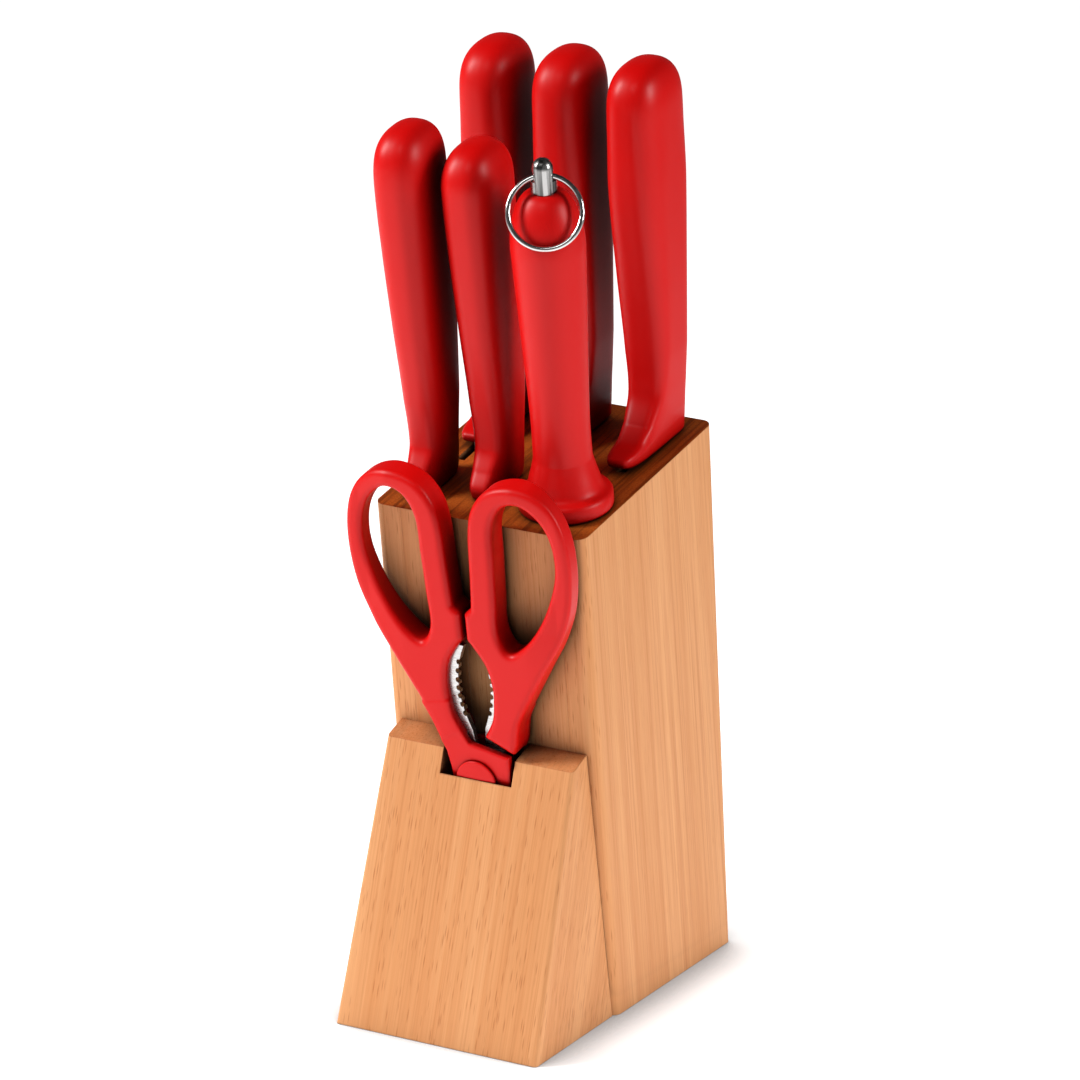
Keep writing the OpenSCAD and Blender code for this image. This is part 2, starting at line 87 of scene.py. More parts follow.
STEEL_X, STEEL_D = 22.4, 21.5
STEEL_LEN, GUARD_R, GUARD_ROUND, RIM_H = 115.7, 16.2, 1.2, 6
NECK_R, NECK_H, BUTT_R, BUTT_H, COLLAR_R = 10, 21, 12.6, 101.6, 4.4
RING_R, WIRE_R, RING_H, POST_FORWARD = 12.2, 0.95, 6.1, 1.3
RING_TILT, RING_TURN = math.radians(30.5), math.radians(27.8)
PIVOT_X, PIVOT_S, SHEAR_LEAN = -0.2, 91.6, math.radians(1.6)
SHEAR_MID, SHEAR_GAP, SHEAR_T, LOOP_T = 7.15, 0.3, 2.2, 11
LOOP_FRONT, LOOP_BACK = -SHEAR_MID - LOOP_T / 2, -SHEAR_MID + LOOP_T / 2
FRONT_BLADE_D = -SHEAR_MID - SHEAR_GAP / 2 - SHEAR_T
REAR_BLADE_D = -SHEAR_MID + SHEAR_GAP / 2
CAP_R, CAP_T, CAP_GAP = 7.6, 1.1, 0.3


def flat(depth, height):
    """Depth and height along the leaning face, as y and z from the foot of that face."""
    y = depth * math.cos(LEAN) - height * math.sin(LEAN)
    return y, depth * math.sin(LEAN) + height * math.cos(LEAN)


back_y, back_z = flat(TOP_DEPTH, FACE_LEN)
MID_Y = (back_y + back_z * math.tan(BACK_LEAN) - FRONT_FOOT) / 2


def placed(x, depth, height, lean):
    """Frame standing at that place of the block, with Z along the lean, from millimetres to metres."""
    y, z = flat(depth, height)
    return Matrix.Scale(MM, 4) @ Matrix.Translation((x, y - MID_Y, z)) @ Matrix.Rotation(lean, 4, "X")


# ---------- Meshes ----------


def spline_at(a, b, c, d, t):
    """Point of the smooth curve between b and c."""
    return 0.5 * (2 * b + (c - a) * t + (2 * a - 5 * b + 4 * c - d) * t * t + (3 * b - a - 3 * c + d) * t**3)


def spline(points, n):
    """Smooth open curve through the points."""
    p = np.array(points, float)
    last = len(p) - 1
    curve = []
    for i in range(last):
        near = p[max(i - 1, 0)], p[i], p[i + 1], p[min(i + 2, last)]
        curve += [spline_at(*near, k / n) for k in range(n)]
    return curve + [p[last]]


def loop_curve(points, n):
    """Smooth closed curve through the points."""
    p = np.array(points, float)
    m = len(p)
    curve = []
    for i in range(m):
        near = p[i - 1], p[i], p[(i + 1) % m], p[(i + 2) % m]
        curve += [spline_at(*near, k / n) for k in range(n)]
    return curve


def make_piece(name, points, faces, matrix, smooth=True):
    """Mesh object with its points moved by matrix into the row frame."""
    mesh = bpy.data.meshes.new(name)
    mesh.from_pydata([matrix @ Vector(p) for p in points], [], faces)
    bm = bmesh.new()
    bm.from_mesh(mesh)
    bmesh.ops.recalc_face_normals(bm, faces=bm.faces)
    bm.to_mesh(mesh)
    bm.free()
    mesh.polygons.foreach_set("use_smooth", [smooth] * len(mesh.polygons))
    obj = bpy.data.objects.new(name, mesh)
    bpy.context.scene.collection.objects.link(obj)
    return obj


def rings_mesh(rings, closed=False):
    """Points and faces of a skin over equal rings; a closed skin joins its last ring to its first."""
    n = len(rings[0])
    points = [p for ring in rings for p in ring]
    count = len(rings) if closed else len(rings) - 1
    faces = []
    for i, j in itertools.product(range(count), range(n)):
        a, b = i * n, (i + 1) % len(rings) * n
        faces.append((a + j, a + (j + 1) % n, b + (j + 1) % n, b + j))
    if not closed:
        faces += [tuple(range(n)), tuple(len(points) - n + j for j in range(n))]
    return points, faces


SMALLEST_R = 0.01


def lathe(profile, sides=96):
    """Points and faces of a profile of (radius, height) turned about Z."""
    turn = [math.tau * j / sides for j in range(sides)]
    rings = []
    for radius, h in profile:
        r = max(radius, SMALLEST_R)
        rings.append([(r * math.cos(a), r * math.sin(a), h) for a in turn])
    return rings_mesh(rings)


# ---------- Knife handles ----------

FLAT_SIDE, FLAT_SOFT = 0.93, 0.03
FLAT_FADE = (20, 45)
SMALLEST_BUTT = 0.0004
HANDLE_SIDES, HANDLE_RINGS = 112, 150
# Rings stand closer up to this height, and again above this share of the length
FOOT_H, BUTT_FROM = 16, 0.83
# Shares of the rings that end with the foot's rounding, with the foot and with the middle of the handle
ROUND_SHARE, FOOT_SHARE, MIDDLE_SHARE = 0.06, 0.26, 0.7


def levelled(u):
    """u from 0 to 1, levelled off near 1, so that the section has a flat side with a soft edge."""
    def low(v):
        return -FLAT_SOFT * math.log(math.exp(-v / FLAT_SOFT) + math.exp(-FLAT_SIDE / FLAT_SOFT))

    return max(low(u) / low(1), 0)


def row_at(rows, h):
    """Handle station at height h, between the listed ones."""
    last = len(rows) - 1
    i = min(sum(r[0] <= h for r in rows) - 1, last - 1)
    t = min((h - rows[i][0]) / (rows[i + 1][0] - rows[i][0]), 1)
    near = [np.array(rows[min(max(k, 0), last)], float) for k in (i - 1, i, i + 1, i + 2)]
    return spline_at(*near, t)


def cap_scale(h, length):
    """How far the section has shrunk at the rounded foot and the domed butt."""
    if h < FOOT_ROUND:
        return 1 - FOOT_SHRINK + FOOT_SHRINK * math.sin(math.pi / 2 * h / FOOT_ROUND)
    over = (h - length + BUTT_LEN) / BUTT_LEN
    return max(1 - over**DOME_POWER, SMALLEST_BUTT) ** (1 / DOME_POWER) if over > 0 else 1


def handle_ring(rows, h, length, sides):
    """One cross-section of a knife handle."""
    front, back, width, nose, square = row_at(rows, min(h, rows[-1][0]))[1:]
    k = cap_scale(h, length)
    fade = min(max((length - h - FLAT_FADE[0]) / (FLAT_FADE[1] - FLAT_FADE[0]), 0), 1)
    level = fade * fade * (3 - 2 * fade) if rows is LARGE_ROWS else 0
    ring = []
    for j in range(sides):
        c, s = math.cos(math.tau * j / sides), math.sin(math.tau * j / sides)
        bulge = abs(c) ** square
        across = math.copysign(bulge + level * (levelled(bulge) - bulge), c)
        along = math.copysign(abs(s) ** square, s)
        x = k * width / 2 * across * (1 - nose * max(-s, 0))
        ring.append((x, (front + back) / 2 + k * (back - front) / 2 * along, h))
    return ring


def handle_heights(length, count):
    """Heights of the rings, close together at the foot and at the butt."""
    heights = []
    for i in range(count):
        u = i / (count - 1)
        if u < ROUND_SHARE:
            heights.append(FOOT_ROUND * u / ROUND_SHARE)
        elif u < FOOT_SHARE:
            part = (u - ROUND_SHARE) / (FOOT_SHARE - ROUND_SHARE)
            heights.append(FOOT_ROUND + (FOOT_H - FOOT_ROUND) * part)
        elif u < MIDDLE_SHARE:
            part = (u - FOOT_SHARE) / (MIDDLE_SHARE - FOOT_SHARE)
            heights.append(FOOT_H + (BUTT_FROM * length - FOOT_H) * part)
        else:
            part = math.sin(math.pi / 2 * (u - MIDDLE_SHARE) / (1 - MIDDLE_SHARE))
            heights.append(length * (BUTT_FROM + (1 - BUTT_FROM) * part))
    return heights


def knife_handle(name, rows, length, x, spine_depth, lean):
    rings = [handle_ring(rows, h, length, HANDLE_SIDES) for h in handle_heights(length, HANDLE_RINGS)]
    at = placed(x, spine_depth, FACE_LEN, lean) @ Matrix.Translation((0, 0, SEAT_GAP))
    return make_piece(name, *rings_mesh(rings), at)


# ---------- Sharpening steel ----------


DOME_DROP = 6
RING_SIDES, WIRE_SIDES = 144, 24


def steel_handle_profile():
    """Radius and height from the foot of the guard to the stud."""
    rim = [(GUARD_R - GUARD_ROUND + GUARD_ROUND * math.cos(a), GUARD_ROUND + GUARD_ROUND * math.sin(a))
           for a in np.radians(np.arange(-90, 1, 10))]
    dome_foot = BUTT_H - DOME_DROP
    side = spline([(GUARD_R, RIM_H - 1), (GUARD_R - 0.7, RIM_H), (GUARD_R - 3, RIM_H + 1.7),
                   (NECK_R + 1.9, RIM_H + 5.5), (NECK_R + 0.4, RIM_H + 11), (NECK_R, NECK_H),
                   (NECK_R + 0.1, NECK_H + 16), ((NECK_R + BUTT_R) / 2 + 0.2, 70), (BUTT_R, dome_foot)], 12)
    dome = [(COLLAR_R + (BUTT_R - COLLAR_R) * math.cos(a), dome_foot + (STEEL_LEN - dome_foot) * math.sin(a))
            for a in np.radians(np.arange(3, 91, 3))]
    return [(0, 0), (GUARD_R * 0.6, 0)] + rim + [tuple(p) for p in side] + dome + [(0, STEEL_LEN)]


def hanging_ring():
    """Wire ring, thin round section swept round a circle that leans forward from the stud."""
    rings = []
    for i in range(RING_SIDES):
        a = math.tau * i / RING_SIDES
        out = Vector((math.cos(a), 0, math.sin(a)))
        rings.append([tuple(out * (RING_R + WIRE_R * math.cos(b)) + Vector((0, WIRE_R * math.sin(b), 0)))
                      for b in (math.tau * j / WIRE_SIDES for j in range(WIRE_SIDES))])
    turn = Matrix.Rotation(RING_TURN, 4, "Z") @ Matrix.Translation((0, -POST_FORWARD, RING_H))
    tilt = turn @ Matrix.Rotation(-RING_TILT, 4, "X")
    at = placed(STEEL_X, STEEL_D, FACE_LEN + SEAT_GAP + STEEL_LEN, LEAN) @ tilt
    return make_piece("ring_wire", *rings_mesh(rings, closed=True), at @ Matrix.Translation((0, 0, -RING_R)))


# ---------- Scissors ----------

STOP_GAP = 0.8
JAW_FOOT = 16.4
jaw_curve = spline(((2, 13.5), (3.8, 16.5), (7.4, 23.5), (8.5, 30), (8.7, 36), (7, 44),
                    (STOP_GAP + 1, 52)), 6)
ARM_POINTS = ((3.8, 70), (4.4, 80), (5.2, 94), (7.4, 103), (13, 110), (21.5, 113), (29.8, 111.8), (37, 106),
              (41.2, 97), (42.6, 84), (40.9, 69), (36.1, 56), (29, 43.8))
FRONT_ARM_END = ((17.8, 24.4), (13.9, 16), (12.9, 13))
REAR_ARM_END = ((18.8, 25.4), (17, 20), (16.1, 14.6), (15, 11.7))
FRONT_SHOULDER, REAR_SHOULDER = ((12.5, 12.4), (4.2, JAW_FOOT)), ((14.4, 11.5), (4.2, JAW_FOOT))
hole_curve = loop_curve(((16.8, 50.2), (23, 54), (29, 62), (33.7, 72), (36.6, 83), (36, 93.4), (32.4, 101.4),
                         (25.6, 106.6), (18.6, 104.6), (14.6, 96.6), (14, 84), (13.4, 70), (13, 57)), 8)
plate_edge = [(11.2, 9.6), (9.9, 3), (9.4, -3), (6, -8.5), (-6, -8.5)]
FRONT_PLATE_REACH, REAR_PLATE_REACH = 12.8, 10.6
LOOP_ROUND, PLATE_ROUND, JOIN = 2.3, 0.7, 0.8
# The loops get thinner by SLIM on each face, outwards and upwards over these stretches
SLIM, SLIM_ACROSS, SLIM_UP = 1.7, (24, 36), (40, 60)
ACROSS_SPAN, UP_SPAN, GRID = (-15, 45), (-11, 116), 0.45
PULL, PUSH, RELAX_ROUNDS = 0.5, -0.52, 3


def outline_distance(u, v, outline):
    """Distance to a closed outline in the plane, negative inside it."""
    p = np.array([tuple(q) for q in outline], float)
    best = np.full(u.shape, np.inf)
    inside = np.zeros(u.shape, bool)
    for (au, av), (bu, bv) in zip(p, np.roll(p, -1, axis=0)):
        eu, ev = bu - au, bv - av
        if abs(eu) + abs(ev) < 1e-9:
            continue
        t = np.clip(((u - au) * eu + (v - av) * ev) / (eu * eu + ev * ev), 0, 1)
        best = np.minimum(best, np.hypot(u - au - t * eu, v - av - t * ev))
        if av != bv:
            inside ^= ((av > v) != (bv > v)) & (u < au + (v - av) * eu / ev)
    return np.where(inside, -best, best)


def rounded_extrusion(plan, z, low, high, r):
    """Distance to a plan shape spread from low to high, with its edges rounded."""
    q = plan + r
    w = np.abs(z - (low + high) / 2) - (high - low) / 2 + r
    return np.minimum(np.maximum(q, w), 0) + np.hypot(np.maximum(q, 0), np.maximum(w, 0)) - r


def joined(a, b, k):
    """The nearer of two distances, with a fillet of size k between the shapes."""
    h = np.maximum(k - np.abs(a - b), 0) / k
    return np.minimum(a, b) - h * h * k / 4


def skin(field, origin, step):
    """Points and quads of the surface where the field crosses zero, one point in every crossed cell."""
    shape = np.array(field.shape) - 1
    offsets = list(itertools.product((0, 1), repeat=3))
    corner = [field[x:x + shape[0], y:y + shape[1], z:z + shape[2]] for x, y, z in offsets]
    below = sum((c < 0).astype(int) for c in corner)
    crossed = (below > 0) & (below < 8)
    index = np.full(crossed.shape, -1)
    index[crossed] = np.arange(crossed.sum())
    total, count = np.zeros((crossed.sum(), 3)), np.zeros(crossed.sum())
    for a, b in itertools.combinations(range(8), 2):
        pa, pb = np.array(offsets[a], float), np.array(offsets[b], float)
        if np.abs(pa - pb).sum() != 1:
            continue
        va, vb = corner[a][crossed], corner[b][crossed]
        cuts = (va < 0) != (vb < 0)
        t = va[cuts] / (va[cuts] - vb[cuts])
        total[cuts] += pa + t[:, None] * (pb - pa)
        count[cuts] += 1
    points = origin + step * (np.argwhere(crossed) + total / count[:, None])
    quads = []
    for axis in range(3):
        one, two = [k for k in range(3) if k != axis]
        step_axis = np.eye(3, dtype=int)[axis]
        inner = tuple(slice(0 if k == axis else 1, -1) for k in range(3))
        ahead = tuple(slice(1, None) if k == axis else slice(1, -1) for k in range(3))
        found = np.argwhere((field[inner] < 0) != (field[ahead] < 0)) + 1 - step_axis
        around = [found - np.eye(3, dtype=int)[one] * i - np.eye(3, dtype=int)[two] * j
                  for i, j in ((0, 0), (1, 0), (1, 1), (0, 1))]
        quads.append(np.stack([index[tuple(c.T)] for c in around], axis=1))
    return points, np.concatenate(quads)


def relaxed(points, quads, rounds):
    """Points moved towards their neighbours' middle and back, which evens the skin without shrinking it."""
    edges = np.concatenate([quads[:, [0, 1]], quads[:, [1, 2]], quads[:, [2, 3]], quads[:, [3, 0]]])
    edges = np.concatenate([edges, edges[:, ::-1]])
    count = np.bincount(edges[:, 0], minlength=len(points))[:, None]
    for i in range(rounds * 2):
        middle = np.zeros_like(points)
        np.add.at(middle, edges[:, 0], points[edges[:, 1]])
        points = points + (middle / count - points) * (PULL if i % 2 == 0 else PUSH)
    return points


def rise(values, low, high):
    """0 up to low, 1 from high on."""
    return np.clip((values - low) / (high - low), 0, 1)


def shear_handle(name, side, front):
    """One handle of the scissors: a loop of rounded bar and the thin plate that carries it past the pivot."""
    u, v, z = np.meshgrid(np.arange(*ACROSS_SPAN, GRID), np.arange(*UP_SPAN, GRID),
                          np.arange(LOOP_FRONT - 1, LOOP_BACK + 1, GRID), indexing="ij")
    plan_u, plan_v = u[:, :, 0], v[:, :, 0]
    end, shoulder = (FRONT_ARM_END, FRONT_SHOULDER) if front else (REAR_ARM_END, REAR_SHOULDER)
    arm_curve = [(STOP_GAP, 53), (STOP_GAP, 63), (3.4, 65.5)] + spline(ARM_POINTS + end, 6)
    inner_side = list(shoulder) + [p for p in jaw_curve if p[1] > JAW_FOOT]
    outer = outline_distance(plan_u, plan_v, arm_curve + inner_side)
    loop = np.maximum(outer, -outline_distance(plan_u, plan_v, hole_curve))
    reach = FRONT_PLATE_REACH if front else REAR_PLATE_REACH
    plate = outline_distance(plan_u, plan_v, [p for p in arm_curve if p[1] < 30 and p[0] > 9] + plate_edge
                             + [(-reach, -5.5), (-reach, 10.3)] + [p for p in jaw_curve if p[1] < 30])
    stretch = LOOP_T / (LOOP_T - 2 * SLIM * rise(u, *SLIM_ACROSS) * rise(v, *SLIM_UP))
    bar = rounded_extrusion(loop[:, :, None], (z + SHEAR_MID) * stretch - SHEAR_MID, LOOP_FRONT, LOOP_BACK,
                            LOOP_ROUND)
    thick = (LOOP_FRONT, FRONT_BLADE_D - 0.02) if front else (REAR_BLADE_D + SHEAR_T + 0.02, LOOP_BACK)
    web = rounded_extrusion(plate[:, :, None], z, *thick, PLATE_ROUND)
    points, quads = skin(joined(bar, web, JOIN), np.array((u.min(), v.min(), z.min())), GRID)
    points = relaxed(points, quads, RELAX_ROUNDS)
    lean = Matrix.Rotation(SHEAR_LEAN, 2)
    turned = np.array([tuple(lean @ Vector((side * p[0], p[1]))) + (p[2],) for p in points])
    local = np.stack([turned[:, 0] + PIVOT_X, turned[:, 2], turned[:, 1] + PIVOT_S], axis=1)
    return make_piece(name, local.tolist(), quads.tolist(), placed(0, 0, 0, LEAN))


def cap_piece():
    """Round red boss in front of the pivot, slightly domed."""
    profile = [(0, 0), (CAP_R - 0.1, 0), (CAP_R, 0.12)]
    profile += [(CAP_R - 0.5 + 0.5 * math.cos(a), CAP_T - 0.65 + 0.5 * math.sin(a))
                for a in np.radians(np.arange(0, 81, 10))]
    profile += [(r, CAP_T - 0.15 * (r / CAP_R) ** 2) for r in np.arange(CAP_R - 1, 0, -0.8)] + [(0, CAP_T)]
    at = placed(0, 0, 0, LEAN) @ Matrix.Translation((PIVOT_X, LOOP_FRONT - CAP_GAP, PIVOT_S))
    return make_piece("cap_disc", *lathe(profile), at @ Matrix.Rotation(math.pi / 2, 4, "X"))


# ---------- Materials ----------


class Finish:
    """A material built from shader nodes; lean is the direction of its grain."""

    def __init__(self, name, lean=LEAN, **settings):
        self.lean = lean
        self.material = bpy.data.materials.new(name)
        self.material.use_nodes = True
        self.tree = self.material.node_tree
        self.surface = self.tree.nodes["Principled BSDF"]
        self.set(self.surface, **settings)
        self.place = self.node("ShaderNodeTexCoord").outputs["Object"]

    def feed(self, socket, value):
        """Links another node's output to a socket, or sets a plain value."""
        if isinstance(value, bpy.types.NodeSocket):
            self.tree.links.new(value, socket)
        else:
            socket.default_value = value

    def set(self, node, **settings):
        for key, value in settings.items():
            self.feed(node.inputs[key.replace("_", " ")], value)

    def node(self, kind, settings=(), **inputs):
        made = self.tree.nodes.new(kind)
        for key, value in dict(settings).items():
            setattr(made, key, value)
        self.set(made, **inputs)
        return made

    def grid(self, cell, shift=(0, 0, 0)):
        """Object coordinates along the lean, counted in cells of that size in millimetres."""
        made = self.node("ShaderNodeMapping", {"vector_type": "TEXTURE"}, Vector=self.place)
        made.inputs["Rotation"].default_value = (self.lean, 0, 0)
        made.inputs["Scale"].default_value = [c * MM for c in cell]
        made.inputs["Location"].default_value = [s * MM for s in shift]
        return made.outputs["Vector"]

    def noise(self, cell, detail=2.0, rough=0.5, shift=(0, 0, 0)):
        made = self.node("ShaderNodeTexNoise", Vector=self.grid(cell, shift=shift), Scale=1.0, Detail=detail,
                         Roughness=rough)
        return made.outputs["Fac"]

    def math(self, how, a, b=0.0):
        made = self.node("ShaderNodeMath", {"operation": how})
        for socket, value in zip(made.inputs, (a, b)):
            self.feed(socket, value)
        return made.outputs[0]

    def band(self, value, low, high, to_low=0.0, to_high=1.0):
        made = self.node("ShaderNodeMapRange", {"interpolation_type": "SMOOTHSTEP"}, Value=value)
        for key, number in (("From Min", low), ("From Max", high), ("To Min", to_low), ("To Max", to_high)):
            made.inputs[key].default_value = number
        return made.outputs["Result"]

    def mix(self, amount, one, two):
        """Blend of two colours; the mix node has its colours at inputs 6 and 7 and at output 2."""
        made = self.node("ShaderNodeMix", {"data_type": "RGBA"})
        for socket, value in zip((made.inputs[0], made.inputs[6], made.inputs[7]), (amount, one, two)):
            self.feed(socket, value)
        return made.outputs[2]

    def shade(self, reach, darkest, full=0.92, low=0.1):
        """Factor for painted shade: falls from 1 in the open to darkest where other faces stand within reach
        millimetres.
        """
        open_air = self.node("ShaderNodeAmbientOcclusion", {"samples": 12}, Distance=reach * MM)
        return self.band(open_air.outputs["AO"], low, full, darkest, 1.0)

    def shaded(self, tone, factor):
        """A colour or a number darkened by a factor."""
        made = self.node("ShaderNodeVectorMath", {"operation": "SCALE"}, Scale=factor)
        self.feed(made.inputs[0], tone)
        return made.outputs["Vector"]

    def relief(self, height, depth, edge=0.0):
        """Bump from a height value, over edges eased by edge millimetres."""
        bump = self.node("ShaderNodeBump", Height=height, Distance=depth * MM, Strength=1.0)
        if edge:
            eased = self.node("ShaderNodeBevel", {"samples": 6}, Radius=edge * MM)
            self.tree.links.new(eased.outputs["Normal"], bump.inputs["Normal"])
        self.set(self.surface, Normal=bump.outputs["Normal"])


def colour(r, g, b):
    return (r, g, b, 1.0)


def wood(name, shift, warmth=0.0, grain=LEAN, end_tone=1.0):
    """Oiled beech: straight grain along a lean with short dark flecks, darker on the end grain, and painted
    shade where other parts stand close, left off near the floor.
    """
    made = Finish(name, grain, **{"Specular IOR Level": 0.14})
    streak = made.noise((3.5, 3.5, 260), 3.0, 0.6, shift)
    broad = made.noise((17, 17, 380), 1.5, 0.5, shift)
    fibre = made.noise((0.45, 0.45, 20), 2.0, 0.6, shift)
    light, dark = colour(0.80 + warmth, 0.395, 0.175), colour(0.70 + warmth, 0.305, 0.12)
    tone = made.mix(made.band(streak, 0.32, 0.7), light, dark)
    tone = made.mix(made.band(broad, 0.3, 0.7, 0.0, 0.5), tone, colour(0.70, 0.300, 0.115))
    lines = made.noise((0.8, 0.8, 150), 2.0, 0.5, shift)
    tone = made.mix(made.band(lines, 0.5, 0.72, 0.0, 0.42), tone, colour(0.56, 0.2, 0.066))
    flecks = made.node("ShaderNodeTexVoronoi", Vector=made.grid((0.8, 0.8, 9), shift=shift), Scale=1.0,
                       Randomness=1.0)
    chance = made.node("ShaderNodeSeparateColor", Color=flecks.outputs["Color"]).outputs[0]
    shape = made.band(flecks.outputs["Distance"], 0.1, 0.38, 1.0, 0.0)
    fleck = made.math("MULTIPLY", shape, made.band(chance, 0.3, 0.6))
    tone = made.mix(made.math("MULTIPLY", fleck, 0.5), tone, colour(0.40, 0.115, 0.03))
    tone = made.mix(made.band(fibre, 0.35, 0.7, 0.0, 0.14), tone, colour(0.45, 0.17, 0.055))
    facing = made.node("ShaderNodeVectorMath", {"operation": "DOT_PRODUCT"})
    made.tree.links.new(made.node("ShaderNodeTexCoord").outputs["Normal"], facing.inputs[0])
    facing.inputs[1].default_value = (0, -math.sin(LEAN), math.cos(LEAN))
    end = made.math("MULTIPLY", made.band(facing.outputs["Value"], 0.8, 0.97), end_tone)
    pores = made.noise((0.7, 0.7, 4), 3.0, 0.7, shift)
    rings = made.noise((2.2, 60, 60), 3.0, 0.6, shift)
    sawn = made.mix(made.band(pores, 0.35, 0.7), colour(0.50, 0.115, 0.014), colour(0.35, 0.07, 0.008))
    sawn = made.mix(made.band(rings, 0.45, 0.62, 0.0, 0.75), sawn, colour(0.16, 0.032, 0.004))
    height = made.node("ShaderNodeSeparateXYZ", Vector=made.place).outputs["Z"]
    # Painted shade: the colour darkens where other parts stand within 14 mm, but not in the lowest 6 to 18 mm
    # near the floor
    painted_crevice_shade = made.math("MAXIMUM", made.shade(14, 0.06), made.band(height, 6 * MM, 18 * MM, 1.0, 0.0))
    made.set(made.surface, **{"Base Color": made.shaded(made.mix(end, tone, sawn), painted_crevice_shade)})
    made.set(made.surface, Roughness=made.band(fibre, 0.3, 0.7, 0.44, 0.58))
    made.relief(made.math("SUBTRACT", made.math("MULTIPLY", fibre, 0.4), fleck), 0.03, edge=0.6)
    return made.material


# Grain of the scissors block runs along its sloping front face
lip_y, lip_z = flat(-FRONT_LIP_DEPTH, FRONT_LIP)
FRONT_GRAIN = -math.atan2(lip_y + FRONT_FOOT, lip_z)


def plastic(name):
    """Satin red plastic, with a fine moulded grain and painted shade where other parts stand close."""
    made = Finish(name, IOR=1.45)
    # Painted shade: colour and gloss both darken where other parts stand within 24 mm
    depth = made.shade(24, 0.1, 0.95)
    made.set(made.surface, **{"Base Color": made.shaded((0.68, 0.0022, 0.0018), depth),
                              "Specular IOR Level": made.math("MULTIPLY", depth, 0.28)})
    cloud = made.noise((30, 30, 60), 2.0)
    made.set(made.surface, Roughness=made.band(cloud, 0.3, 0.7, 0.36, 0.43))
    made.relief(made.noise((0.9, 0.9, 0.9), 2.0), 0.006)
    return made.material


def brushed(name, across, roughness):
    """Ground steel: fine lines along the blade."""
    made = Finish(name, Metallic=1.0)
    lines = made.noise(across, 3.0, 0.6)
    tone = made.mix(made.band(lines, 0.3, 0.7), colour(0.66, 0.655, 0.65), colour(0.50, 0.495, 0.49))
    made.set(made.surface, **{"Base Color": tone})
    made.set(made.surface, Roughness=made.band(lines, 0.3, 0.7, roughness - 0.06, roughness + 0.08))
    made.relief(lines, 0.006, edge=0.25)
    return made.material


def polished(name, roughness):
    """Polished steel with faint marks."""
    made = Finish(name, Metallic=1.0, Base_Color=colour(0.70, 0.69, 0.68))
    marks = made.noise((2, 2, 6), 3.0)
    made.set(made.surface, Roughness=made.band(marks, 0.3, 0.7, roughness - 0.04, roughness + 0.05))
    made.relief(marks, 0.004, edge=0.3)
    return made.material


def turned_steel_painted_bands(name):
    """Turned stud: steel with painted reflection bands, dark and light along its axis, in its colour."""
    made = Finish(name, Metallic=1.0, Roughness=0.26)
    # Painted reflections: dark and light bands along the axis in the steel's colour
    painted_reflection_bands = made.noise((1.7, 1.7, 70), 1.5, 0.5)
    made.set(made.surface, **{"Base Color": made.mix(made.band(painted_reflection_bands, 0.36, 0.6), colour(0.09, 0.088, 0.085),
                                                     colour(0.62, 0.61, 0.60))})
    made.relief(made.noise((0.4, 0.4, 30), 2.0), 0.004, edge=0.3)
    return made.material


red = plastic("satin_red_plastic")
blade_steel = brushed("ground_blade_steel", (40, 0.25, 0.25), 0.3)
rod_steel = brushed("sharpening_steel", (0.6, 0.6, 60), 0.34)
bright_steel = polished("polished_steel", 0.16)
stud_steel = turned_steel_painted_bands("turned_steel_painted_bands")
CAD_FINISHES = {
    "left_board": wood("beech_left", (0, 0, 0)),
    "left_inner_board": wood("beech_left_inner", (37, 11, 90), 0.01),
    "centre_board": wood("beech_centre", (-61, 43, 170), -0.01),
    "right_inner_board": wood("beech_right_inner", (83, -29, 260), 0.0),
    "right_board": wood("beech_right", (-17, 71, 330), 0.01),
    "scissors_block": wood("beech_scissors_block", (53, 97, 410), 0.01, grain=FRONT_GRAIN, end_tone=0.25),
    "dowels": wood("beech_dowels", (11, 23, 510)),
    "steel_rod": rod_steel,
    "steel_stud": stud_steel,
    "pivot_screw": bright_steel,
    "pivot_nut": bright_steel,
}
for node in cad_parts:
    if node.endswith("_blade"):
        CAD_FINISHES[node] = blade_steel
for node, finish in CAD_FINISHES.items():
    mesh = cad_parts[node].data
    mesh.materials.clear()
    mesh.materials.append(finish)


# ---------- Pieces ----------


def add(obj, body, node, finish):
    obj.data.materials.append(finish)
    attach(obj, body)
    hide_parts(node)


chef_x, bread_x = -GLUE_OUTER + LARGE_SLOT / 2, GLUE_RIGHT - LARGE_SLOT / 2
carving_x = GLUE_OUTER - LARGE_SLOT / 2
paring_x, utility_x = -GLUE_OUTER + SMALL_SLOT / 2, GLUE_LEFT + SMALL_SLOT / 2
for knife, rows, length, x, spine_depth, lean in (
    ("chef", LARGE_ROWS, LARGE_LEN, chef_x, BACK_SPINE, BACK_LEAN),
    ("bread", LARGE_ROWS, LARGE_LEN, bread_x, BACK_SPINE, BACK_LEAN),
    ("carving", LARGE_ROWS, LARGE_LEN, carving_x, BACK_SPINE, BACK_LEAN),
    ("utility", SMALL_ROWS, UTILITY_LEN, utility_x, UTILITY_SPINE, LEAN),
    ("paring", SMALL_ROWS, PARING_LEN, paring_x, PARING_SPINE, LEAN),
):
    grip = knife_handle(knife + "_grip", rows, length, x, spine_depth, lean)
    add(grip, knife + "_knife", knife + "_handle", red)

